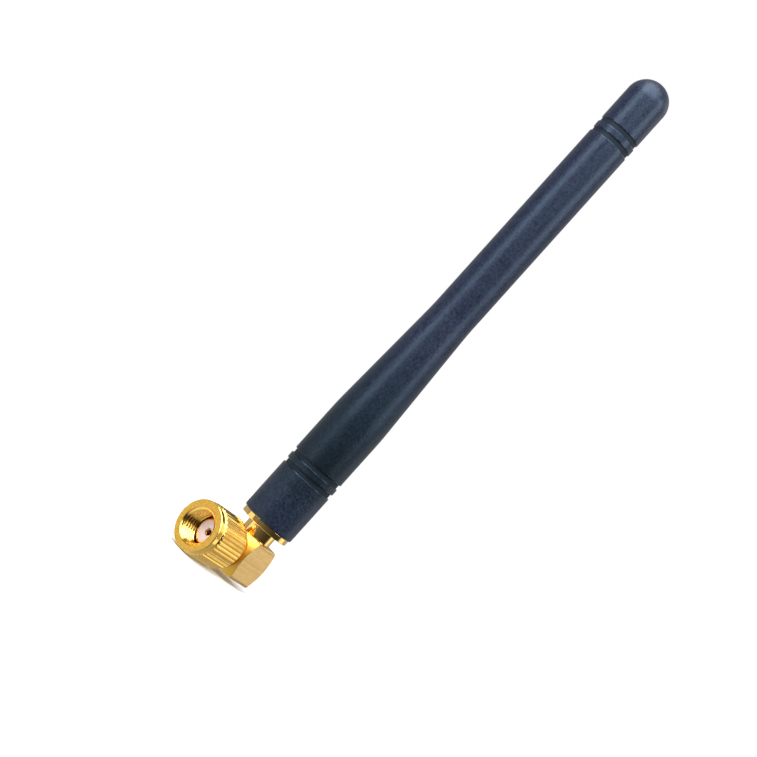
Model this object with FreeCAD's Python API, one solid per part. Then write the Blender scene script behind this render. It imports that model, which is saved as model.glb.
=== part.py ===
import FreeCAD, Part
import math
import os

# Right-angle whip antenna with a coaxial plug. Millimetres, +Z up along the whip.
# The plug's axis is Y and its mouth faces -Y. The origin lies on that axis, at the
# inner end of the nut's thread. The whip's axis is the vertical line at y = reach.

V = FreeCAD.Vector

# Plug interface
thread_major_diameter = 6.35
threads_per_inch = 36
plug_face_recess = 0.15
insulator_diameter = 4.1
ferrule_wall = 0.25
contact_diameter = 1.27
contact_bore_diameter = 0.92
contact_recess = 0.3

# Coupling nut
nut_front_to_plug_face = 3.12
nut_length = 7.85
nut_diameter = 9.32
nut_collar_diameter = 8.9
nut_collar_length = 1.2
nut_face_bevel = 0.1
nut_mouth_diameter = 6.62
nut_mouth_depth = 0.3
flute_count = 40
flute_width = 0.5
flute_depth = 0.22
flute_chamfer = 0.27

# Barrel, retaining ring and gasket
barrel_shoulder_height = 0.35
ferrule_length = 1.75
barrel_seat_length = 1.6
ring_thickness = 0.45
ring_seat_depth = 0.35
ring_stand = 0.4
ring_gap = 1.4
ring_groove_inset = 0.9
gasket_thickness = 0.5
gasket_outer_diameter = 6.0

# Elbow block
reach = 10.24
block_side = 7.44
block_ahead = 3.38
block_behind = 3.56
block_corner_radius = 0.5
block_cone_start_diameter = 6.7
block_cone_angle = 28
cap_thickness = 0.9

# Neck, flange and stem
neck_diameter = 5.6
neck_length = 2.03
neck_spigot_diameter = 4.6
flange_diameter = 9.2
flange_thickness = 1.0
stem_length = 7.2

# Cable
conductor_diameter = 0.31
dielectric_diameter = 0.84
braid_diameter = 1.35
jacket_diameter = 1.8
conductor_tail = 0.45
dielectric_entry = 1.1

# Whip: heights are measured from the top of the flange
sleeve_length = 96.6
sleeve_base_diameter = 9.78
sleeve_tip_diameter = 7.6
sleeve_straight_length = 22.4
sleeve_taper_length = 22.3
sleeve_tip_wall = 1.08
base_groove_height = 9.45
base_groove_width = 0.85
base_groove_gap = 1.19
base_groove_depth = 0.3
tip_groove_height = 83.4
tip_groove_width = 0.88
tip_groove_gap = 1.17
tip_groove_depth = 0.2

# Radiator board
board_thickness = 0.8
board_base_gap = 1.6
board_tip_gap = 4.0
copper_thickness = 0.07
feed_height = 37.0
feed_gap = 0.8
arm_margin = 0.3
arm_strip_width = 0.8
meander_pitch = 4.3
meander_turns = 5

# Fits between the pieces
running_clearance = 0.06
groove_clearance = 0.1
slip_clearance = 0.01
end_clearance = 0.1
board_clearance = 0.08

# The thread's minor diameter is the major one less a pitch, as it is bored for tapping
thread_pitch = 25.4 / threads_per_inch
thread_minor_diameter = thread_major_diameter - thread_pitch

# Diameters round the plug's axis, from the insulator outwards
ferrule_diameter = insulator_diameter + 2 * ferrule_wall
barrel_diameter = ferrule_diameter + 2 * barrel_shoulder_height
ring_inner_diameter = barrel_diameter - 2 * ring_seat_depth
ring_outer_diameter = barrel_diameter + 2 * ring_stand

# Places along the plug's axis, worked out from the sizes above
plug_face = plug_face_recess
nut_front = plug_face - nut_front_to_plug_face
nut_rear = nut_front + nut_length
barrel_shoulder = plug_face + ferrule_length
block_front = reach - block_ahead
block_back = reach + block_behind
barrel_end = block_front + barrel_seat_length
ring_rear = nut_rear - ring_groove_inset
ring_front = ring_rear - ring_thickness

# The sleeve's bore is moulded on the neck's stem, so they share a diameter
stem_diameter = sleeve_tip_diameter - 2 * sleeve_tip_wall

# Heights along the whip's axis
block_top = block_side / 2
neck_bottom = barrel_diameter / 2 + end_clearance
flange_bottom = block_top + neck_length
flange_top = flange_bottom + flange_thickness
stem_top = flange_top + stem_length
sleeve_top = flange_top + sleeve_length
dome_bottom = sleeve_top - sleeve_tip_diameter / 2
taper_bottom = flange_top + sleeve_straight_length
taper_top = taper_bottom + sleeve_taper_length
board_bottom = stem_top + board_base_gap
board_top = dome_bottom - board_tip_gap
feed_z = flange_top + feed_height
copper_front = reach + jacket_diameter / 2
board_front = copper_front + copper_thickness
board_back = board_front + board_thickness
board_edge = math.sqrt((stem_diameter / 2 - board_clearance) ** 2 - (board_back - reach) ** 2)
arm_edge = board_edge - arm_margin


def closed_face(points):
    """A face inside the closed outline that the points give."""
    return Part.Face(Part.makePolygon(points + [points[0]]))


def turned_on_plug(profile):
    """A solid turned on the plug's axis from (y, radius) points."""
    face = closed_face([V(radius, y, 0) for y, radius in profile])
    return face.revolve(V(0, 0, 0), V(0, 1, 0), 360)


def turned_on_whip(profile):
    """A solid turned on the whip's axis from (radius, z) points."""
    face = closed_face([V(radius, reach, z) for radius, z in profile])
    return face.revolve(V(0, reach, 0), V(0, 0, 1), 360)


def plug_cylinder(diameter, start, end):
    """A cylinder on the plug's axis between two places along it."""
    return Part.makeCylinder(diameter / 2, end - start, V(0, start, 0), V(0, 1, 0))


def whip_cylinder(diameter, bottom, top):
    """A cylinder on the whip's axis between two heights."""
    return Part.makeCylinder(diameter / 2, top - bottom, V(0, reach, bottom))


def block_between(low, high):
    """A box from its lowest corner to its highest."""
    return Part.makeBox(high[0] - low[0], high[1] - low[1], high[2] - low[2], V(*low))


def ring_of_points(radius, y, phase=0):
    """One point for each flute, level with the plug's axis, on a circle round it."""
    points = []
    for number in range(flute_count):
        angle = 2 * math.pi * (number + phase) / flute_count
        points.append(V(radius * math.cos(angle), y, radius * math.sin(angle)))
    return points


def fluted_grip(start, end):
    """Straight V flutes round the nut, with every tooth chamfered at the collar."""
    crest = nut_diameter / 2
    root = crest - flute_depth
    half_land = 0.5 - flute_width * flute_count / (2 * math.pi * nut_diameter)
    roots = ring_of_points(root, start)
    land_starts = ring_of_points(crest, start, 0.5 - half_land)
    land_ends = ring_of_points(crest, start, 0.5 + half_land)
    outline = []
    for valley, land_start, land_end in zip(roots, land_starts, land_ends):
        outline.extend([valley, land_start, land_end])
    teeth = closed_face(outline).extrude(V(0, end - start, 0))
    flat_crest = crest * math.cos(2 * math.pi * half_land / flute_count)
    across_flats = math.cos(math.pi / flute_count)
    sections = [
        (root, start),
        (flat_crest / across_flats, start + flute_chamfer),
        (flat_crest / across_flats, end),
    ]
    rings = []
    for radius, y in sections:
        points = ring_of_points(radius, y)
        rings.append(Part.makePolygon(points + [points[0]]))
    return teeth.common(Part.makeLoft(rings, True, True))


def coupling_nut():
    """Turned nut: smooth collar, fluted grip, thread bore, relief and rear lip."""
    collar = nut_collar_diameter / 2
    collar_end = nut_front + nut_collar_length
    lip = barrel_diameter / 2 + running_clearance
    lip_front = ring_rear + groove_clearance
    relief = thread_major_diameter / 2 + groove_clearance
    collar_ring = turned_on_plug([
        (nut_front, 0),
        (nut_front, collar - nut_face_bevel),
        (nut_front + nut_face_bevel, collar),
        (collar_end, collar),
        (collar_end, 0),
    ])
    bore = turned_on_plug([
        (nut_front, 0),
        (nut_front, nut_mouth_diameter / 2),
        (nut_front + nut_mouth_depth, thread_minor_diameter / 2),
        (0, thread_minor_diameter / 2),
        (0, relief),
        (lip_front, relief),
        (lip_front, lip),
        (nut_rear, lip),
        (nut_rear, 0),
    ])
    return collar_ring.fuse(fluted_grip(collar_end, nut_rear)).cut(bore)


def retaining_ring():
    """Open spring ring that sits in the barrel's groove and the nut's."""
    ring = plug_cylinder(ring_outer_diameter, ring_front, ring_rear)
    ring = ring.cut(plug_cylinder(ring_inner_diameter, ring_front, ring_rear))
    opening = block_between(
        (-ring_gap / 2, ring_front, 0),
        (ring_gap / 2, ring_rear, ring_outer_diameter),
    )
    return ring.cut(opening)


def nut_gasket():
    """Flat seal round the ferrule, against the barrel's shoulder."""
    front = barrel_shoulder - gasket_thickness
    seal = plug_cylinder(gasket_outer_diameter, front, barrel_shoulder)
    return seal.cut(plug_cylinder(ferrule_diameter, front, barrel_shoulder))


def plug_body():
    """Turned barrel, pressed in the block: thin ferrule, shoulder and ring groove."""
    ferrule = ferrule_diameter / 2
    barrel = barrel_diameter / 2
    ring_seat = ring_inner_diameter / 2 - groove_clearance
    return turned_on_plug([
        (plug_face, insulator_diameter / 2),
        (plug_face, ferrule),
        (barrel_shoulder, ferrule),
        (barrel_shoulder, barrel),
        (ring_front - groove_clearance / 2, barrel),
        (ring_front - groove_clearance / 2, ring_seat),
        (ring_rear, ring_seat),
        (ring_rear, barrel),
        (barrel_end, barrel),
        (barrel_end, insulator_diameter / 2),
    ])


def plug_insulator():
    """PTFE rod, level with the ferrule in front and with the barrel behind."""
    rod = plug_cylinder(insulator_diameter, plug_face, barrel_end)
    return rod.cut(plug_cylinder(contact_diameter, plug_face, barrel_end))


def contact_end():
    """Where the contact's rear, solder-slotted end stops."""
    return reach + contact_diameter * 0.6


def socket_contact():
    """Centre socket: bored and cross-slotted in front, slotted for the wire behind."""
    front = plug_face + contact_recess
    bore_depth = 2.6
    finger_slot_width = 0.14
    finger_slot_depth = 2.2
    wire_slot_width = conductor_diameter + 2 * slip_clearance
    radius = contact_diameter / 2
    contact = plug_cylinder(contact_diameter, front, contact_end())
    contact = contact.cut(plug_cylinder(contact_bore_diameter, front, front + bore_depth))
    upright = block_between(
        (-finger_slot_width / 2, front, -radius),
        (finger_slot_width / 2, front + finger_slot_depth, radius),
    )
    level = upright.copy()
    level.rotate(V(0, 0, 0), V(0, 1, 0), 90)
    wire_slot = block_between(
        (-wire_slot_width / 2, reach - conductor_diameter, -radius),
        (wire_slot_width / 2, contact_end(), radius),
    )
    return contact.cut(Part.makeCompound([upright, level])).cut(wire_slot)


def contact_joint():
    """Solder left in the rear slot behind the wire."""
    half_width = conductor_diameter / 2 + slip_clearance
    half_height = contact_diameter / 4
    return block_between(
        (-half_width, reach + conductor_diameter / 2, -half_height),
        (half_width, contact_end(), half_height),
    )


def elbow_block():
    """Square bar with both ends turned as cones, bored for the barrel, cap and neck."""
    half = block_side / 2
    bar = block_between((-half, block_front, -half), (half, block_back, half))
    long_edges = []
    for edge in bar.Edges:
        first, last = edge.Vertexes[0].Point, edge.Vertexes[1].Point
        if abs(first.y - last.y) > block_side / 2:
            long_edges.append(edge)
    bar = bar.makeFillet(block_corner_radius, long_edges)
    start = block_cone_start_diameter / 2
    reach_out = block_side
    fall = (reach_out - start) * math.tan(math.radians(block_cone_angle))
    envelope = turned_on_plug([
        (block_front, 0),
        (block_front, start),
        (block_front + fall, reach_out),
        (block_back - fall, reach_out),
        (block_back, start),
        (block_back, 0),
    ])
    block = bar.common(envelope)
    block = block.cut(plug_cylinder(barrel_diameter, block_front, block_back))
    return block.cut(whip_cylinder(neck_spigot_diameter, 0, block_top))


def rear_cap():
    """Disc pressed into the back of the block's bore."""
    return plug_cylinder(barrel_diameter, block_back - cap_thickness, block_back)


def neck_flange():
    """Turned neck, disc and stem in one piece, bored for the cable."""
    spigot = neck_spigot_diameter / 2
    neck = neck_diameter / 2
    disc = flange_diameter / 2
    stem = stem_diameter / 2
    bore = braid_diameter / 2
    return turned_on_whip([
        (bore, neck_bottom),
        (spigot, neck_bottom),
        (spigot, block_top),
        (neck, block_top),
        (neck, flange_bottom),
        (disc, flange_bottom),
        (disc, flange_top),
        (stem, flange_top),
        (stem, stem_top),
        (bore, stem_top),
    ])


def cable_top():
    """Height where the dielectric stops, just under the feed point."""
    return feed_z - feed_gap


def coax_conductor():
    """Feed wire from the contact's slot to the feed point."""
    return whip_cylinder(conductor_diameter, -conductor_tail, feed_z + feed_gap)


def coax_dielectric():
    """Inner insulation round the wire."""
    tube = whip_cylinder(dielectric_diameter, dielectric_entry, cable_top())
    return tube.cut(whip_cylinder(conductor_diameter, dielectric_entry, cable_top()))


def braid_top():
    """Height where the stripped braid stops."""
    return cable_top() - 2 * feed_gap


def jacket_top():
    """Height where the jacket stops, below the soldered stretch of braid."""
    return braid_top() - 4 * feed_gap


def coax_braid():
    """Screen from the neck's bore to the lower arm's solder joint."""
    tube = whip_cylinder(braid_diameter, neck_bottom, braid_top())
    return tube.cut(whip_cylinder(dielectric_diameter, neck_bottom, braid_top()))


def coax_jacket():
    """Jacket on the stretch of cable above the stem."""
    bottom = stem_top + end_clearance
    tube = whip_cylinder(jacket_diameter, bottom, jacket_top())
    return tube.cut(whip_cylinder(braid_diameter, bottom, jacket_top()))


def radiator_board():
    """Narrow board behind the cable, held by the sleeve's bore at its edges."""
    return block_between(
        (-board_edge, board_front, board_bottom),
        (board_edge, board_back, board_top),
    )


def lower_arm():
    """Copper strip behind the cable, from the board's foot to the screen's joint."""
    return block_between(
        (-arm_edge, copper_front, board_bottom + arm_margin),
        (arm_edge, board_front, braid_top()),
    )


def upper_arm():
    """Copper from the feed point up, folded to and fro for the low band."""
    rung_bottom = feed_z + 4 * feed_gap
    pad = block_between(
        (-arm_edge, copper_front, feed_z - feed_gap / 2),
        (arm_edge, board_front, rung_bottom),
    )
    strips = [pad]
    side = 1
    for number in range(meander_turns):
        left = arm_edge * side - arm_strip_width * (side + 1) / 2
        strips.append(block_between(
            (left, copper_front, rung_bottom),
            (left + arm_strip_width, board_front, rung_bottom + meander_pitch),
        ))
        strips.append(block_between(
            (-arm_edge, copper_front, rung_bottom + meander_pitch - arm_strip_width),
            (arm_edge, board_front, rung_bottom + meander_pitch),
        ))
        rung_bottom = rung_bottom + meander_pitch
        side = -side
    return strips[0].multiFuse(strips[1:]).removeSplitter()


def solder_wedge(cable_diameter, bottom, top):
    """Solder that stands on the copper and narrows towards the cable's back."""
    cable_back = reach + cable_diameter / 2
    foot = closed_face([
        V(-cable_diameter, copper_front, bottom),
        V(cable_diameter, copper_front, bottom),
        V(cable_diameter / 2, cable_back, bottom),
        V(-cable_diameter / 2, cable_back, bottom),
    ])
    return foot.extrude(V(0, 0, top - bottom))


def feed_joint():
    """Solder from the wire's end to the upper arm."""
    return solder_wedge(conductor_diameter, feed_z - feed_gap / 4, feed_z + feed_gap)


def screen_joint():
    """Solder from the bared braid to the lower arm."""
    return solder_wedge(braid_diameter, braid_top() - 3 * feed_gap, braid_top() - feed_gap)


def groove_pair(radius, depth, first_bottom, width, gap):
    """Outline points, from the bottom up, of two square grooves with a ring between them."""
    points = []
    for bottom in (first_bottom, first_bottom + width + gap):
        points.append((radius, bottom))
        points.append((radius - depth, bottom))
        points.append((radius - depth, bottom + width))
        points.append((radius, bottom + width))
    return points


def antenna_sleeve():
    """Moulded sleeve: grooves near the base and the tip, long taper, domed end."""
    base = sleeve_base_diameter / 2
    tip = sleeve_tip_diameter / 2
    stem = stem_diameter / 2
    base_grooves = flange_top + base_groove_height
    tip_grooves = flange_top + tip_groove_height
    side = [
        (0, dome_bottom),
        (stem, dome_bottom),
        (stem, flange_top),
        (base, flange_top),
        *groove_pair(base, base_groove_depth, base_grooves, base_groove_width, base_groove_gap),
        (base, taper_bottom),
        (tip, taper_top),
        *groove_pair(tip, tip_groove_depth, tip_grooves, tip_groove_width, tip_groove_gap),
        (tip, dome_bottom),
    ]
    edges = Part.makePolygon([V(radius, reach, z) for radius, z in side]).Edges
    rise = tip * math.sqrt(0.5)
    dome = Part.Arc(
        V(tip, reach, dome_bottom),
        V(rise, reach, dome_bottom + rise),
        V(0, reach, sleeve_top),
    )
    edges.append(dome.toShape())
    edges.append(Part.makeLine(V(0, reach, sleeve_top), V(0, reach, dome_bottom)))
    face = Part.Face(Part.Wire(edges))
    return face.revolve(V(0, reach, 0), V(0, 0, 1), 360)


pieces = {
    "coupling_nut": coupling_nut,
    "retaining_ring": retaining_ring,
    "nut_gasket": nut_gasket,
    "plug_body": plug_body,
    "plug_insulator": plug_insulator,
    "socket_contact": socket_contact,
    "contact_joint": contact_joint,
    "elbow_block": elbow_block,
    "rear_cap": rear_cap,
    "neck_flange": neck_flange,
    "coax_conductor": coax_conductor,
    "coax_dielectric": coax_dielectric,
    "coax_braid": coax_braid,
    "coax_jacket": coax_jacket,
    "radiator_board": radiator_board,
    "lower_arm": lower_arm,
    "upper_arm": upper_arm,
    "feed_joint": feed_joint,
    "screen_joint": screen_joint,
    "antenna_sleeve": antenna_sleeve,
}

os.makedirs("parts", exist_ok=True)
for node, make in pieces.items():
    make().exportStep("parts/" + node + ".step")
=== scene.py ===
import math

import bmesh
import bpy
import numpy as np
from mathutils import Matrix, Vector


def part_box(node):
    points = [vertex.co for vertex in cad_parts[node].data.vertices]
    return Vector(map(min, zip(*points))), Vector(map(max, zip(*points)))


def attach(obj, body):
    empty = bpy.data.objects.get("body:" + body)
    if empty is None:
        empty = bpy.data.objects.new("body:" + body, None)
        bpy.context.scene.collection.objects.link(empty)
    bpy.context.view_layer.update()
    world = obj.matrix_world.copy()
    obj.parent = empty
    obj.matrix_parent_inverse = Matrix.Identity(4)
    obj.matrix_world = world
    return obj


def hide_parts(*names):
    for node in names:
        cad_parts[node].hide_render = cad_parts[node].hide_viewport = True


# The antenna stands upright: +Z runs up the whip and the plug's mouth faces -Y.
# Lengths are millimetres from the plug's thread, and meshes are scaled to metres.
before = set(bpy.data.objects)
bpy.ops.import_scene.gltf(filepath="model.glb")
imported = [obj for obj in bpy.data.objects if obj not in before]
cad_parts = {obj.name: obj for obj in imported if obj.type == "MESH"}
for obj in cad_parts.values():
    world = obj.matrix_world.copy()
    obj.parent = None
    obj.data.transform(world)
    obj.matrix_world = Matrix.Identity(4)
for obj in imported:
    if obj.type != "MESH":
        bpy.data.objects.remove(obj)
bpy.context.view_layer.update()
mm = 0.001


def corners_of(node):
    """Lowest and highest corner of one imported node, in millimetres."""
    low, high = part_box(node)
    return low / mm, high / mm


# Camera: stands level with the lower third of the whip and is rolled, so that the
# whip points to the upper right. The focal length is that of a short telephoto lens.
whip_low, whip_high = corners_of("antenna_sleeve")
reach = (whip_low.y + whip_high.y) / 2
camera_turn = math.radians(37.552)
camera_tilt = math.radians(-0.735)
camera_roll = math.radians(41.969)
camera_distance = 292.58
camera_aside = 22.633
camera_above = 28.624
picture_side = 757
focal_pixels = 1787.3
film_width = 36.0

toward_camera = Vector((
    math.sin(camera_turn) * math.cos(camera_tilt),
    -math.cos(camera_turn) * math.cos(camera_tilt),
    math.sin(camera_tilt),
))
level = Vector((math.cos(camera_turn), math.sin(camera_turn), 0))
upright = toward_camera.cross(level)
picture_right = level * math.cos(camera_roll) + upright * math.sin(camera_roll)
picture_up = upright * math.cos(camera_roll) - level * math.sin(camera_roll)
camera_place = Vector((0, reach, 0)) + toward_camera * camera_distance
camera_place += picture_right * camera_aside + picture_up * camera_above

camera_data = bpy.data.cameras.new("camera")
camera_data.sensor_width = film_width
camera_data.lens = focal_pixels * film_width / picture_side
camera_data.clip_start = 0.01
camera_data.clip_end = 20
camera = bpy.data.objects.new("camera", camera_data)
facing = Matrix((picture_right, picture_up, toward_camera)).transposed().to_4x4()
camera.matrix_world = Matrix.Translation(camera_place * mm) @ facing
bpy.context.scene.collection.objects.link(camera)
bpy.context.scene.camera = camera


# Barrel: turned brass with bright gold plating, pressed into the elbow block. Its thin
# front end is the ferrule, and a groove behind the shoulder holds the nut's ring.
class Signal:
    """A shader socket that takes part in arithmetic."""

    def __init__(self, finish, socket):
        self.finish = finish
        self.socket = socket

    def calculate(self, operation, first, second=0.0):
        sockets = {0: first, 1: second}
        return self.finish.node("ShaderNodeMath", {"operation": operation}, sockets)

    def __add__(self, other):
        return self.calculate("ADD", self, other)

    def __sub__(self, other):
        return self.calculate("SUBTRACT", self, other)

    def __rsub__(self, other):
        return self.calculate("SUBTRACT", other, self)

    def __mul__(self, other):
        return self.calculate("MULTIPLY", self, other)

    def __truediv__(self, other):
        return self.calculate("DIVIDE", self, other)

    def __pow__(self, other):
        return self.calculate("POWER", self, other)

    __radd__ = __add__

    def magnitude(self):
        """Its size without its sign."""
        return self.calculate("ABSOLUTE", self)

    def clamped(self):
        """Kept between 0 and 1."""
        return self.calculate("MINIMUM", self.calculate("MAXIMUM", self, 0.0), 1.0)


class Finish:
    """A surface finish: one Principled shader and the nodes that feed it."""

    def __init__(self, name, **constants):
        self.material = bpy.data.materials.new(name)
        self.material.use_nodes = True
        self.tree = self.material.node_tree
        self.shader = self.tree.nodes["Principled BSDF"]
        for socket_name, value in constants.items():
            self.feed(self.shader.inputs[socket_name.replace("_", " ")], value)

    def feed(self, socket, value):
        if isinstance(value, Signal):
            self.tree.links.new(value.socket, socket)
        elif isinstance(value, tuple) and len(value) == 3 and socket.type == "RGBA":
            socket.default_value = (*value, 1)
        else:
            socket.default_value = value

    def node(self, kind, settings, sockets, out=0):
        made = self.tree.nodes.new(kind)
        for setting, value in settings.items():
            setattr(made, setting, value)
        for key, value in sockets.items():
            self.feed(made.inputs[key], value)
        return Signal(self, made.outputs[out])

    def place(self):
        """Where a point is on its piece, in metres."""
        return self.node("ShaderNodeTexCoord", {}, {}, "Object")

    def height(self):
        """How high a point is above the plug's axis, in millimetres."""
        return self.node("ShaderNodeSeparateXYZ", {}, {0: self.place()}, "Z") / mm

    def stretched(self, vector, factors):
        sockets = {0: vector, 1: factors}
        return self.node("ShaderNodeVectorMath", {"operation": "MULTIPLY"}, sockets)

    def length(self, vector):
        return self.node("ShaderNodeVectorMath", {"operation": "LENGTH"}, {0: vector}, "Value")

    def rings(self, from_axis, size, detail):
        """Noise that changes only with the distance from the axis, as a lathe leaves it."""
        along = self.node("ShaderNodeCombineXYZ", {}, {0: from_axis})
        return self.noise(along, size, detail)

    def noise(self, vector, size, detail=2.0):
        """Smooth noise whose patches are about size millimetres across."""
        sockets = {"Vector": vector, "Scale": 1 / (size * mm), "Detail": detail}
        return self.node("ShaderNodeTexNoise", {}, sockets, "Fac")

    def blended(self, factor, first, second):
        sockets = {0: factor, 6: first, 7: second}
        return self.node("ShaderNodeMix", {"data_type": "RGBA"}, sockets, 2)

    def relief(self, height, depth):
        """Bump whose height of 1 stands depth millimetres proud."""
        sockets = {"Height": height, "Distance": depth * mm, "Strength": 1.0}
        self.feed(self.shader.inputs["Normal"], self.node("ShaderNodeBump", {}, sockets))

    def colour(self, value):
        self.feed(self.shader.inputs["Base Color"], value)

    def roughness(self, value):
        self.feed(self.shader.inputs["Roughness"], value)


flat_margin = 1.4


def rounded(corners, steps=5):
    """An outline with its corners rounded off.

    A corner is (radius, height, cut): the rounding starts that far from the corner, with
    one more row beside it that keeps the flats flat. Radius and height are numbers, or
    arrays with one value for each column of the mesh.
    """
    numbers = [np.atleast_1d(value) for corner in corners for value in corner[:2]]
    points = np.array(np.broadcast_arrays(*numbers), float).reshape(len(corners), 2, -1)
    rows = []
    for index, (_, _, cut) in enumerate(corners):
        here = points[index]
        if not cut:
            rows.append(here)
            continue
        before = points[index - 1] - here
        after = points[(index + 1) % len(points)] - here
        before = before / np.linalg.norm(before, axis=0)
        after = after / np.linalg.norm(after, axis=0)
        rows.append(here + before * cut * flat_margin)
        for step in range(steps + 1):
            t = step / steps
            rows.append(here + before * cut * (1 - t) ** 2 + after * cut * t ** 2)
        rows.append(here + after * cut * flat_margin)
    return rows


def on_plug(radius, height, angle):
    return radius * np.cos(angle), height, radius * np.sin(angle)


def turned(name, rows, put, angles=160, crease=40):
    """A closed mesh turned on the axis that put sets, from rows of (radius, height)."""
    if np.isscalar(angles):
        angles = np.arange(angles) * 2 * math.pi / angles
    columns = len(angles)
    placed = [np.broadcast_arrays(*put(row[0], row[1], angles)) for row in rows]
    vertices = np.concatenate([np.stack(row, axis=-1) for row in placed]) * mm
    faces = []
    for row in range(len(rows)):
        onward = (row + 1) % len(rows)
        for column in range(columns):
            beside = (column + 1) % columns
            faces.append((
                row * columns + column,
                row * columns + beside,
                onward * columns + beside,
                onward * columns + column,
            ))
    mesh = bpy.data.meshes.new(name)
    mesh.from_pydata(vertices.tolist(), [], faces)
    piece = bpy.data.objects.new(name, mesh)
    bpy.context.scene.collection.objects.link(piece)
    tidied(piece, crease)
    return piece


weld_distance = 0.0004 * mm


def tidied(piece, crease=40):
    """Welds a mesh, turns its faces outwards and shades it smooth up to an angle."""
    work = bmesh.new()
    work.from_mesh(piece.data)
    bmesh.ops.remove_doubles(work, verts=work.verts, dist=weld_distance)
    bmesh.ops.dissolve_degenerate(work, edges=work.edges, dist=weld_distance / 2)
    bmesh.ops.recalc_face_normals(work, faces=work.faces)
    work.to_mesh(piece.data)
    work.free()
    piece.data.shade_smooth()
    piece.data.set_sharp_from_angle(angle=math.radians(crease))


def bright_gold(name, dark=(0.92, 0.55, 0.10), light=(1.0, 0.67, 0.19)):
    """Gold plating over turned brass: mirror bright, with faint stains and tool marks."""
    gold = Finish(name, Metallic=1.0)
    where = gold.place()
    stain = gold.noise(where, 1.6, 3.0)
    haze = gold.noise(where, 0.35, 4.0)
    gold.colour(gold.blended((stain * 1.6 - 0.4).clamped(), dark, light))
    gold.roughness(0.09 + haze * 0.10)
    gold.relief(gold.noise(where, 0.08, 2.0), 0.0015)
    return gold


_, barrel_high = corners_of("plug_body")
insulator_low, insulator_high = corners_of("plug_insulator")
gasket_low, gasket_high = corners_of("nut_gasket")
plug_face = insulator_low.y
bore = insulator_high.x
barrel_radius = barrel_high.x
ferrule_wall = 0.25
ferrule_radius = bore + ferrule_wall
shoulder = gasket_high.y
groove_front = 3.43
groove_rear = 3.98
groove_radius = 2.2

barrel_outline = rounded([
    (bore, plug_face, 0.03),
    (ferrule_radius, plug_face, 0.09),
    (ferrule_radius, shoulder, 0.02),
    (barrel_radius, shoulder, 0.05),
    (barrel_radius, groove_front, 0.03),
    (groove_radius, groove_front, 0.02),
    (groove_radius, groove_rear, 0.02),
    (barrel_radius, groove_rear, 0.03),
    (barrel_radius, barrel_high.y, 0.05),
    (bore, barrel_high.y, 0.03),
])
barrel = turned("barrel", barrel_outline, on_plug)
plating = bright_gold("bright_gold")
barrel.data.materials.append(plating.material)
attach(barrel, "antenna")
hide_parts("plug_body")


# Insulator: a white PTFE rod pressed in the barrel, faced off level with the ferrule.
# PTFE is waxy and lets a little light in, and the facing tool leaves faint rings.
contact_low, contact_high = corners_of("socket_contact")
contact_radius = contact_high.x
fit = 0.01

insulator_outline = rounded([
    (contact_radius, plug_face, 0.04),
    (bore - fit, plug_face, 0.05),
    (bore - fit, insulator_high.y, 0.05),
    (contact_radius, insulator_high.y, 0.04),
])
insulator = turned("insulator", insulator_outline, on_plug)
ptfe = Finish(
    "ptfe", Specular_IOR_Level=0.35, IOR=1.35, Subsurface_Weight=0.25, Subsurface_Scale=0.0004,
)
ptfe.shader.inputs["Subsurface Radius"].default_value = (1.0, 0.8, 0.7)
where = ptfe.place()
rings = ptfe.rings(ptfe.length(ptfe.stretched(where, (1, 0, 1))), 0.12, 3.0)
cloud = ptfe.noise(where, 1.1, 3.0)
ptfe.colour(ptfe.blended(cloud, (0.66, 0.56, 0.51), (0.76, 0.67, 0.63)))
ptfe.roughness(0.38 + rings * 0.2)
ptfe.relief(rings, 0.004)
insulator.data.materials.append(ptfe.material)
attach(insulator, "antenna")
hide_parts("plug_insulator")


# Centre contact: a socket in redder, heavier gold plating, drilled and slotted both ways
# so that four fingers grip the mating pin. It stands a little behind the insulator's face.
contact_fit = 0.008
pin_radius = 0.46
pin_hole_end = contact_low.y + 2.6
finger_slot = 0.14
finger_slot_end = contact_low.y + 2.2
wire_slot = 0.33
wire_slot_start = reach - 0.31

contact_outline = rounded([
    (pin_radius, contact_low.y, 0.06),
    (contact_radius - contact_fit, contact_low.y, 0.03),
    (contact_radius - contact_fit, contact_high.y, 0.06),
    (0.0, contact_high.y, 0),
    (0.0, pin_hole_end, 0),
    (pin_radius, pin_hole_end, 0.03),
])
contact = turned("centre_contact", contact_outline, on_plug, 96)


def box_between(low, high):
    """A plain cutter with the two corners given in millimetres."""
    cutter = bmesh.new()
    bmesh.ops.create_cube(cutter, size=1)
    low, high = Vector(low) * mm, Vector(high) * mm
    for vertex in cutter.verts:
        share = vertex.co + Vector((0.5, 0.5, 0.5))
        vertex.co = Vector([a + (b - a) * s for a, b, s in zip(low, high, share)])
    mesh = bpy.data.meshes.new("cutter")
    cutter.to_mesh(mesh)
    cutter.free()
    return bpy.data.objects.new("cutter", mesh)


def cut_away(piece, cutters, crease=40):
    """Takes the cutters' shapes out of a piece and deletes them."""
    for cutter in cutters:
        if cutter.name not in bpy.context.scene.collection.objects:
            bpy.context.scene.collection.objects.link(cutter)
        modifier = piece.modifiers.new("cut", "BOOLEAN")
        modifier.operation = "DIFFERENCE"
        modifier.solver = "EXACT"
        modifier.object = cutter
    bpy.context.view_layer.update()
    evaluated = piece.evaluated_get(bpy.context.evaluated_depsgraph_get())
    cut = bpy.data.meshes.new_from_object(evaluated)
    piece.modifiers.clear()
    piece.data = cut
    for cutter in cutters:
        bpy.data.objects.remove(cutter)
    tidied(piece, crease)


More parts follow.
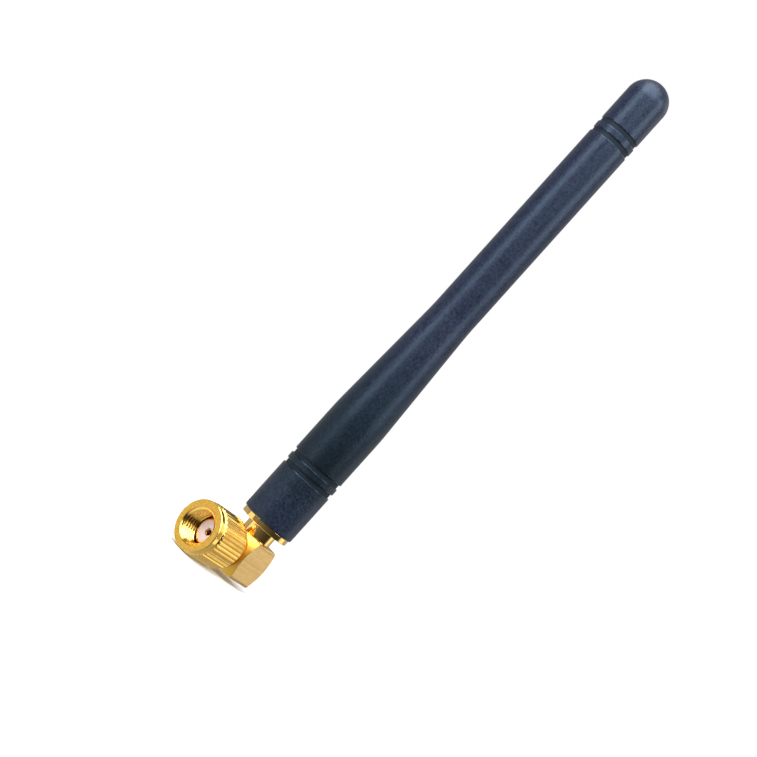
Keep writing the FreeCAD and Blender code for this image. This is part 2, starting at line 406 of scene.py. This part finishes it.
half_slot = finger_slot / 2
half_wire = wire_slot / 2
before_contact = contact_low.y - 1
behind_contact = contact_high.y + 1
cut_away(contact, [
    box_between((-half_slot, before_contact, -1), (half_slot, finger_slot_end, 1)),
    box_between((-1, before_contact, -half_slot), (1, finger_slot_end, half_slot)),
    box_between((-half_wire, wire_slot_start, -1), (half_wire, behind_contact, 1)),
])
red_gold = bright_gold("contact_gold", (0.78, 0.34, 0.09), (0.93, 0.47, 0.15))
contact.data.materials.append(red_gold.material)
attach(contact, "antenna")
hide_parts("socket_contact")


# Gasket: a flat ring of dark brown rubber on the ferrule, pressed against the shoulder.
# The nut pulls the jack onto it.
gasket_outline = rounded([
    (ferrule_radius, gasket_low.y, 0.04),
    (gasket_high.x, gasket_low.y, 0.09),
    (gasket_high.x, gasket_high.y, 0.09),
    (ferrule_radius, gasket_high.y, 0.04),
])
gasket = turned("gasket", gasket_outline, on_plug)
seal = Finish("gasket_rubber", Specular_IOR_Level=0.4)
where = seal.place()
cloud = seal.noise(where, 0.5, 4.0)
seal.colour(seal.blended(cloud, (0.075, 0.016, 0.008), (0.13, 0.032, 0.014)))
seal.roughness(0.45 + seal.noise(where, 0.3) * 0.25)
seal.relief(seal.noise(where, 0.07, 3.0), 0.006)
gasket.data.materials.append(seal.material)
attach(gasket, "antenna")
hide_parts("nut_gasket")


# Coupling nut: turned brass, plated bright. Forty straight flutes are rolled into its
# grip, and the collar before them and the satin front face are turned. The bore has a
# right-hand thread of 36 turns to the inch.
nut_low, nut_high = corners_of("coupling_nut")
nut_front = nut_low.y
nut_rear = nut_high.y
flutes = 40
crest = 4.66
flute_depth = 0.22
flute_half_width = 0.25
valley_round = 0.03
edge_round = 0.15
collar_radius = 4.45
collar_end = nut_front + 1.2
neck_radius = 4.34
neck_width = 0.15
face_bevel = 0.10
front_cone = 0.27
rear_bevel = 0.3
mouth_radius = 3.31
mouth_bevel = 0.18
mouth_step = 5.0
thread_pitch = 25.4 / 36
thread_minor = 2.822
thread_major = 3.175
thread_end = 0.95
thread_crest = 1.2
thread_flank = 2.5
relief_radius = 3.275
lip_radius = 2.71
lip_front = 4.08
on_face = 0.004
steps_per_flute = 12
steps_per_pitch = 14

columns = flutes * steps_per_flute
nut_angles = np.arange(columns) * 2 * math.pi / columns
along_pitch = (nut_angles * flutes / (2 * math.pi) + 0.5) % 1 - 0.5
off_centre = np.sqrt((along_pitch * 2 * math.pi * crest / flutes) ** 2 + valley_round ** 2)
into_flute = 1 - off_centre / flute_half_width
hollow = (into_flute + np.sqrt(into_flute ** 2 + edge_round ** 2)) / 2
tooth = crest - flute_depth * hollow
front_meet = collar_end + (tooth - neck_radius) * front_cone / (crest - neck_radius)
rear_start = crest - rear_bevel
rear_meet = nut_rear - (tooth - rear_start)

grip_outline = rounded([
    (mouth_radius, nut_front, 0.09),
    (collar_radius - face_bevel, nut_front, 0.02),
    (collar_radius, nut_front + face_bevel, 0.03),
    (collar_radius, collar_end - neck_width, 0.05),
    (neck_radius, collar_end - neck_width, 0.03),
    (neck_radius, collar_end, 0.02),
    (tooth, front_meet, 0.035),
    (tooth, rear_meet, 0.05),
    (rear_start, nut_rear, 0.03),
    (lip_radius, nut_rear, 0.06),
    (lip_radius, lip_front, 0.03),
    (relief_radius, lip_front, 0.03),
    (relief_radius, thread_end, 0.03),
], steps=4)
thread_steps = round((thread_end - nut_front) / thread_pitch * steps_per_pitch)
thread_rows = []
for step in range(thread_steps):
    height = thread_end + (nut_front - thread_end) * step / thread_steps
    turn = (height / thread_pitch + nut_angles / (2 * math.pi)) % 1
    ridge = np.clip(thread_crest - np.abs(turn - 0.5) * thread_flank, 0, 1)
    thread = thread_major - (thread_major - thread_minor) * ridge
    inside = height - nut_front
    mouth = mouth_radius - inside - max(inside - mouth_bevel, 0) * mouth_step
    thread_rows.append(np.array([np.maximum(thread, mouth), np.full(columns, height)]))
nut = turned("nut", grip_outline + thread_rows, on_plug, nut_angles, crease=50)


def satin_gold(name, mottle, edges=None):
    """Gold plating over a satin surface, with the fine rings that a lathe leaves.

    Stains gather at the two edges, if their radii are given.
    """
    gold = Finish(name, Metallic=1.0)
    where = gold.place()
    from_axis = gold.length(gold.stretched(where, (1, 0, 1)))
    rings = gold.rings(from_axis, 0.09, 4.0)
    grain = gold.noise(where, 0.12, 4.0)
    spots = gold.noise(where, 0.34, 3.0)
    shade = (grain * 0.5 + (spots - 0.5) * mottle + 0.25).clamped()
    if edges:
        from_middle = from_axis / mm - (edges[0] + edges[1]) / 2
        half_width = (edges[1] - edges[0]) / 2
        at_edge = (from_middle * from_middle / half_width ** 2).clamped() ** 3
        stain = (gold.noise(where, 0.5, 4.0) * 5.0 - 2.2).clamped()
        shade = (shade - at_edge * stain * 0.9).clamped()
    gold.colour(gold.blended(shade, (0.52, 0.30, 0.035), (0.90, 0.55, 0.11)))
    gold.roughness(0.28 + grain * 0.16)
    gold.relief(rings * 0.6 + grain * 0.4, 0.010)
    return gold


face_edges = (mouth_radius + 0.1, collar_radius - face_bevel)
face_gold = satin_gold("satin_gold_face", 1.5, face_edges)
nut.data.materials.append(plating.material)
nut.data.materials.append(face_gold.material)
for face in nut.data.polygons:
    rearmost = max(nut.data.vertices[corner].co.y for corner in face.vertices)
    face.material_index = 1 if rearmost < (nut_front + on_face) * mm else 0
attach(nut, "nut")
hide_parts("coupling_nut")


# Retaining ring: an open ring of spring bronze in the barrel's groove. The nut's rear
# lip turns against it.
ring_finish = Finish("spring_bronze", Metallic=1.0)
where = ring_finish.place()
patina = ring_finish.noise(where, 0.5, 4.0)
ring_finish.colour(ring_finish.blended(patina, (0.42, 0.22, 0.10), (0.66, 0.41, 0.21)))
ring_finish.roughness(0.28 + patina * 0.25)
ring_finish.relief(ring_finish.noise(where, 0.05, 2.0), 0.003)


def refinish(node, finish):
    """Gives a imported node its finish."""
    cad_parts[node].data.materials.clear()
    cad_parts[node].data.materials.append(finish.material)


refinish("retaining_ring", ring_finish)


# Elbow block: a length of square brass bar with both ends turned off as cones, bored
# through for the barrel and from the top for the neck. The bar's drawn sides keep fine
# lines along their length under the plating.
block_low, block_high = corners_of("elbow_block")
half_side = block_high.x
block_front = block_low.y
block_back = block_high.y
corner_radius = 0.5
cone_start = 3.35
cone_slope = math.tan(math.radians(28))
spigot_radius = 2.3
hole_depth = 5.0
score_height = 0.15
score_width = 0.05

per_side = 28
per_corner = 7
inner = half_side - corner_radius
section = []
for quarter in range(4):
    for step in range(per_side):
        spot = -inner + 2 * inner * step / per_side
        section.append((half_side, spot, quarter))
    for step in range(per_corner):
        bend = math.pi / 2 * step / per_corner
        across = inner + corner_radius * math.cos(bend)
        section.append((across, inner + corner_radius * math.sin(bend), quarter))
bar_angles = np.array([math.atan2(b, a) + quarter * math.pi / 2 for a, b, quarter in section])
bar_radii = np.array([math.hypot(a, b) for a, b, _ in section])
cone_depth = (bar_radii - cone_start) * cone_slope

block_outline = rounded([
    (barrel_radius, block_front, 0.04),
    (cone_start, block_front, 0.05),
    (bar_radii, block_front + cone_depth, 0.05),
    (bar_radii, block_back - cone_depth, 0.05),
    (cone_start, block_back, 0.05),
    (barrel_radius, block_back, 0.04),
])
block = turned("elbow_block_body", block_outline, on_plug, bar_angles, crease=22)

spigot_hole = bmesh.new()
bmesh.ops.create_cone(
    spigot_hole, cap_ends=True, segments=96,
    radius1=spigot_radius * mm, radius2=spigot_radius * mm, depth=hole_depth * mm,
    matrix=Matrix.Translation(Vector((0, reach, hole_depth / 2)) * mm),
)
spigot_mesh = bpy.data.meshes.new("cutter")
spigot_hole.to_mesh(spigot_mesh)
spigot_hole.free()
cut_away(block, [bpy.data.objects.new("cutter", spigot_mesh)], crease=22)

drawn = Finish("drawn_gold", Metallic=1.0)
where = drawn.place()
lines = drawn.noise(drawn.stretched(where, (1, 0.012, 1)), 0.07, 5.0)
broad = drawn.noise(drawn.stretched(where, (1, 0.05, 1)), 0.9, 2.0)
mottle = drawn.noise(where, 0.6, 4.0)
score = 1 - ((drawn.height() - score_height).magnitude() / score_width).clamped()
drawn.colour(drawn.blended(
    (lines * 0.9 + broad * 0.4 + mottle * 0.5 - 0.42 - score * 0.5).clamped(),
    (0.55, 0.32, 0.09), (0.96, 0.68, 0.30),
))
drawn.roughness(0.26 + lines * 0.16)
drawn.relief(lines - score * 0.8, 0.006)
cone_gold = satin_gold("turned_gold_cone", 0.4)
block.data.materials.clear()
block.data.materials.append(drawn.material)
block.data.materials.append(cone_gold.material)
for face in block.data.polygons:
    face.material_index = 1 if abs(face.normal.y) > 0.5 else 0
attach(block, "antenna")
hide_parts("elbow_block")


# Rear cap: a turned disc pressed into the back of the block's bore once the wire is
# soldered. Its face is satin and its rim has a small bevel.
cap_low, cap_high = corners_of("rear_cap")
cap_outline = rounded([
    (0.0, cap_low.y, 0),
    (cap_high.x - fit, cap_low.y, 0.05),
    (cap_high.x - fit, cap_high.y, 0.12),
    (0.0, cap_high.y, 0),
])
cap = turned("cap", cap_outline, on_plug)
cap.data.materials.append(cone_gold.material)
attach(cap, "antenna")
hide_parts("rear_cap")


# Neck: one turned piece with a spigot in the block, a polished neck, the disc that the
# sleeve stands on, and the stem that the sleeve is moulded over. Its plating is paler.
neck_low, neck_high = corners_of("neck_flange")
block_top = block_high.z
flange_top = whip_low.z
flange_thickness = 1.0
flange_bottom = flange_top - flange_thickness
flange_radius = min(neck_high.x, neck_high.y - reach)
neck_side = 2.8
stem_radius = 2.72
cable_bore = 0.675


def on_whip(radius, height, angle):
    return radius * np.cos(angle), reach + radius * np.sin(angle), height


neck_outline = rounded([
    (cable_bore, neck_low.z, 0.03),
    (spigot_radius - fit, neck_low.z, 0.06),
    (spigot_radius - fit, block_top, 0.02),
    (neck_side, block_top, 0.05),
    (neck_side, flange_bottom, 0.10),
    (flange_radius, flange_bottom, 0.09),
    (flange_radius, flange_top, 0.07),
    (stem_radius - fit, flange_top, 0.04),
    (stem_radius - fit, neck_high.z, 0.10),
    (cable_bore, neck_high.z, 0.03),
])
neck = turned("neck", neck_outline, on_whip)
pale_gold = bright_gold("pale_gold", (0.91, 0.58, 0.16), (0.98, 0.71, 0.27))
neck.data.materials.append(pale_gold.material)
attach(neck, "antenna")
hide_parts("neck_flange")


# Feed cable: a thin coaxial cable from the contact up the whip: copper wire, PTFE, a
# braid of tinned wires and an extruded jacket. Solder joins it at both ends.
copper = Finish("copper", Metallic=1.0)
where = copper.place()
tarnish = copper.noise(where, 0.7, 4.0)
copper.colour(copper.blended(tarnish, (0.62, 0.27, 0.14), (0.93, 0.52, 0.34)))
copper.roughness(0.25 + tarnish * 0.25)
copper.relief(copper.noise(where, 0.06, 2.0), 0.003)
refinish("coax_conductor", copper)
refinish("coax_dielectric", ptfe)

braid = Finish("tinned_braid", Metallic=1.0)
where = braid.place()
wires = []
for lean in (1, -1):
    bands = braid.node("ShaderNodeTexWave", {"bands_direction": "X"}, {
        "Vector": braid.stretched(where, (1, 1, 0.6 * lean)), "Scale": 900.0, "Distortion": 0.0,
    }, "Fac")
    wires.append(bands)
weave = wires[0].calculate("MAXIMUM", wires[0], wires[1])
braid.colour(braid.blended(weave, (0.30, 0.29, 0.27), (0.80, 0.79, 0.76)))
braid.roughness(0.30 + weave * 0.15)
braid.relief(weave, 0.03)
refinish("coax_braid", braid)

jacket = Finish("cable_jacket", Specular_IOR_Level=0.5)
where = jacket.place()
flow = jacket.noise(jacket.stretched(where, (1, 1, 0.05)), 0.3, 3.0)
jacket.colour(jacket.blended(flow, (0.11, 0.035, 0.012), (0.17, 0.06, 0.022)))
jacket.roughness(0.25 + flow * 0.2)
jacket.relief(flow, 0.004)
refinish("coax_jacket", jacket)

solder = Finish("solder", Metallic=1.0)
where = solder.place()
crystals = solder.noise(where, 0.25, 4.0)
solder.colour(solder.blended(crystals, (0.48, 0.49, 0.50), (0.78, 0.79, 0.80)))
solder.roughness(0.18 + crystals * 0.3)
solder.relief(crystals, 0.02)
for joint in ("contact_joint", "feed_joint", "screen_joint"):
    refinish(joint, solder)


# Radiator: a narrow glass laminate board with copper arms. It stands on its edges in the
# sleeve's bore, out of sight.
laminate = Finish("board_laminate", Specular_IOR_Level=0.5)
where = laminate.place()
threads = {"Vector": where, "Scale": 700.0}
warp = laminate.node("ShaderNodeTexWave", {"bands_direction": "X"}, threads, "Fac")
weft = laminate.node("ShaderNodeTexWave", {"bands_direction": "Z"}, threads, "Fac")
cloth = warp * weft
laminate.colour(laminate.blended(cloth, (0.012, 0.075, 0.030), (0.030, 0.150, 0.060)))
laminate.roughness(0.35 + cloth * 0.2)
laminate.relief(cloth, 0.008)
refinish("radiator_board", laminate)
refinish("lower_arm", copper)
refinish("upper_arm", copper)


# Sleeve: moulded over the stem in dark blue-grey rubber with a fine spark-eroded grain,
# two pairs of grooves, a long taper and a domed end. Its colour is lighter on the thin
# part and the foot, partly a pale bloom and partly painted light: stronger light from
# above at the tip and light thrown up by the flange at the foot. Between them the base
# is painted darker as painted shade. The groove floors are painted near black as painted
# shade, and their rims are smoother.
base_radius = min(whip_high.x, whip_high.y - reach)
tip_radius = 3.80
sleeve_top = whip_high.z
dome_bottom = sleeve_top - tip_radius
dome_steps = 32
taper_bottom = flange_top + 22.4
taper_top = taper_bottom + 22.3
taper_blend = 1.6
# Heights over which the colour grows lighter: partly bloom, partly painted light that falls
# more strongly towards the tip.
bloom_and_light_start = 20.0
bloom_and_light_end = 46.0
foot_end = flange_top + 12.0
foot_fade = 6.0
foot_bloom_and_bounce = 0.75
groove_edge = 0.08
rim_centre = 0.06
rim_width = 0.12
base_grooves = (flange_top + 9.45, 0.85, 1.19, 0.30)
tip_grooves = (flange_top + 83.4, 0.88, 1.17, 0.20)


def groove_pair(radius, bottom, width, gap, depth):
    """Corners of two moulded grooves, from the bottom up."""
    corners = []
    for start in (bottom, bottom + width + gap):
        corners += [
            (radius, start, 0.13),
            (radius - depth, start, 0.04),
            (radius - depth, start + width, 0.04),
            (radius, start + width, 0.08),
        ]
    return corners


side_outline = rounded([
    (0.0, dome_bottom, 0),
    (stem_radius, dome_bottom, 0.2),
    (stem_radius, flange_top, 0.05),
    (base_radius, flange_top, 0.22),
    *groove_pair(base_radius, *base_grooves),
    (base_radius, taper_bottom, taper_blend),
    (tip_radius, taper_top, taper_blend),
    *groove_pair(tip_radius, *tip_grooves),
    (tip_radius, dome_bottom, 0),
], steps=6)
dome = []
for step in range(1, dome_steps + 1):
    rise = math.pi / 2 * step / dome_steps
    height = dome_bottom + tip_radius * math.sin(rise)
    dome.append(np.array([tip_radius * math.cos(rise), height]))
sleeve = turned("sleeve", side_outline + dome, on_whip, 192)

rubber = Finish(
    "sleeve_rubber", Specular_IOR_Level=0.5, IOR=1.5, Specular_Tint=(0.54, 0.74, 1.0),
)
where = rubber.place()
grain = rubber.noise(where, 0.10, 4.0)
speckle = rubber.noise(where, 0.32, 5.0)
cloud = rubber.noise(where, 2.6, 3.0)
height_above = rubber.height()
# Lighter towards the tip and at the foot: partly a pale bloom, partly painted light from above
# at the tip and painted light thrown up by the flange at the foot.
thin_part = ((height_above - bloom_and_light_start) / (bloom_and_light_end - bloom_and_light_start)).clamped()
foot = ((foot_end - height_above) / foot_fade).clamped()
bloom_and_painted_light = (thin_part + foot * foot_bloom_and_bounce).clamped()
shade = (speckle * 2.8 + cloud * 0.5 - 1.15).clamped()
hue = (rubber.noise(where, 0.45, 3.0) * 3.0 + bloom_and_painted_light * 0.7 - 1.35).clamped()
teal = rubber.blended(shade, (0.0, 0.004, 0.006), (0.005, 0.024, 0.036))
violet = rubber.blended(shade, (0.002, 0.002, 0.008), (0.019, 0.020, 0.046))
bloomed_and_lit = rubber.blended(hue, teal, violet)
# Where neither mask reaches, the colour is painted darker: partly fresh rubber, partly painted
# shade.
fresh_and_painted_shade = rubber.blended(0.75, bloomed_and_lit, (0.0, 0.0, 0.0))
side = rubber.blended(bloom_and_painted_light, fresh_and_painted_shade, bloomed_and_lit)
in_groove = 0.0
on_rim = 0.0
for start, width, gap, _ in (base_grooves, tip_grooves):
    for low in (start, start + width + gap):
        half_width = width / 2
        from_middle = (height_above - (low + half_width)).magnitude()
        in_groove = ((half_width - from_middle) / groove_edge).clamped() + in_groove
        from_rim = (from_middle - (half_width + rim_centre)).magnitude()
        on_rim = (1 - from_rim / rim_width).clamped() + on_rim
# The groove floors are painted near black as painted shade.
rubber.colour(rubber.blended(in_groove, side, (0.001, 0.002, 0.003)))
rubber.roughness(0.285 + speckle * 0.17 + in_groove * 0.25 - on_rim * 0.22)
rubber.relief(grain * 0.4 + speckle * 0.8, 0.034)
sleeve.data.materials.append(rubber.material)
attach(sleeve, "antenna")
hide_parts("antenna_sleeve")


# Studio: a pale paper floor under the nut that fades out into the white backdrop. Soft
# lights stand overhead, above the camera and on each side, with a dimmer one behind and
# two low cards for the undersides. The dark room gives the gold its contrast.
scene = bpy.context.scene
scene.view_settings.view_transform = "Standard"
scene.view_settings.look = "None"
floor_height = -4.68
floor_reach = 260.0
floor_fade = (50.0, 240.0)
floor_rings = 24
floor_spokes = 48
lit_height = 45.0

floor_points = [(0, reach)]
for ring in range(1, floor_rings + 1):
    for step in range(floor_spokes):
        turn = math.pi * 2 * step / floor_spokes
        away = floor_reach * ring / floor_rings
        floor_points.append((away * math.cos(turn), reach + away * math.sin(turn)))
floor_faces = [(0, 1 + step, 1 + (step + 1) % floor_spokes) for step in range(floor_spokes)]
for ring in range(floor_rings - 1):
    inner_ring = 1 + ring * floor_spokes
    outer_ring = inner_ring + floor_spokes
    for step in range(floor_spokes):
        after = (step + 1) % floor_spokes
        floor_faces.append((
            inner_ring + step, outer_ring + step, outer_ring + after, inner_ring + after,
        ))
floor_mesh = bpy.data.meshes.new("floor")
floor_vertices = [(x * mm, y * mm, floor_height * mm) for x, y in floor_points]
floor_mesh.from_pydata(floor_vertices, [], floor_faces)
floor = bpy.data.objects.new("floor", floor_mesh)
scene.collection.objects.link(floor)
floor.visible_glossy = False
paper = Finish("white_paper", Specular_IOR_Level=0.2, Roughness=0.6)
paper.colour((0.95, 0.95, 0.96))
from_whip = {0: paper.place(), 1: (0, reach * mm, 0)}
where = paper.node("ShaderNodeVectorMath", {"operation": "SUBTRACT"}, from_whip)
away = paper.length(paper.stretched(where, (1, 1, 0))) / mm
faded = ((away - floor_fade[0]) / (floor_fade[1] - floor_fade[0])).clamped()
clear = paper.tree.nodes.new("ShaderNodeBsdfTransparent")
blend = paper.node("ShaderNodeMixShader", {}, {0: faded ** 0.6})
paper.tree.links.new(paper.shader.outputs[0], blend.socket.node.inputs[1])
paper.tree.links.new(clear.outputs[0], blend.socket.node.inputs[2])
paper.tree.links.new(blend.socket, paper.tree.nodes["Material Output"].inputs["Surface"])
floor_mesh.materials.append(paper.material)


def soft_light(name, turn, height, distance, width, length, brightness):
    """A soft rectangular light that faces the whip.

    It is turned so many degrees from the camera and raised so many from level. Its
    distance, width and length are millimetres, and brightness is that of its surface.
    """
    turn, height = math.radians(turn), math.radians(height)
    flat = Vector((toward_camera.x, toward_camera.y, 0)).normalized()
    direction = (flat * math.cos(turn) + level * math.sin(turn)) * math.cos(height)
    direction += Vector((0, 0, math.sin(height)))
    lamp_data = bpy.data.lights.new(name, "AREA")
    lamp_data.shape = "RECTANGLE"
    lamp_data.size = width * mm
    lamp_data.size_y = length * mm
    lamp_data.energy = brightness * math.pi * width * length * mm * mm
    lamp = bpy.data.objects.new(name, lamp_data)
    side = Vector((0, 0, 1)).cross(direction).normalized()
    facing = Matrix((side, direction.cross(side), direction)).transposed().to_4x4()
    spot = Vector((0, reach, lit_height)) + direction * distance
    lamp.matrix_world = Matrix.Translation(spot * mm) @ facing
    scene.collection.objects.link(lamp)


soft_light("overhead_light", -35, 62, 420, 520, 440, 5.0)
soft_light("front_light", 14, 36, 420, 240, 260, 3.6)
soft_light("left_light", -47, 27, 500, 180, 440, 6.5)
soft_light("right_light", 66, 27, 500, 240, 440, 5.0)
soft_light("rear_light", 126, 32, 450, 260, 220, 0.9)
soft_light("side_card", 105, -9, 500, 240, 130, 0.86)
soft_light("face_card", -76, -12, 500, 260, 140, 1.0)

world = bpy.data.worlds.new("studio")
scene.world = world
world.use_nodes = True


class Surroundings(Finish):
    """What stands round the studio, as seen in each direction."""

    def __init__(self):
        self.tree = world.node_tree
        self.shader = self.tree.nodes["Background"]
        self.direction = self.node("ShaderNodeTexCoord", {}, {}, "Generated")

    def toward(self, direction):
        sockets = {0: self.direction, 1: tuple(direction)}
        return self.node("ShaderNodeVectorMath", {"operation": "DOT_PRODUCT"}, sockets, "Value")


studio = Surroundings()
ahead = studio.toward(toward_camera)
below = studio.toward((0, 0, -1))
nearside = studio.toward((-0.85, -0.53, 0))
backdrop_brightness = 0.46
backdrop = ((0.10 - ahead) / 0.35).clamped() * backdrop_brightness
table = ((below - 0.06) / 0.2).clamped() * (0.55 + nearside * 0.6).clamped()
room = 0.035
lit = backdrop.calculate("MAXIMUM", backdrop, table) + room
seen = studio.node("ShaderNodeLightPath", {}, {}, "Is Camera Ray")
studio.feed(studio.shader.inputs["Strength"], lit.calculate("MAXIMUM", lit, seen))
studio.shader.inputs["Color"].default_value = (1, 1, 1, 1)
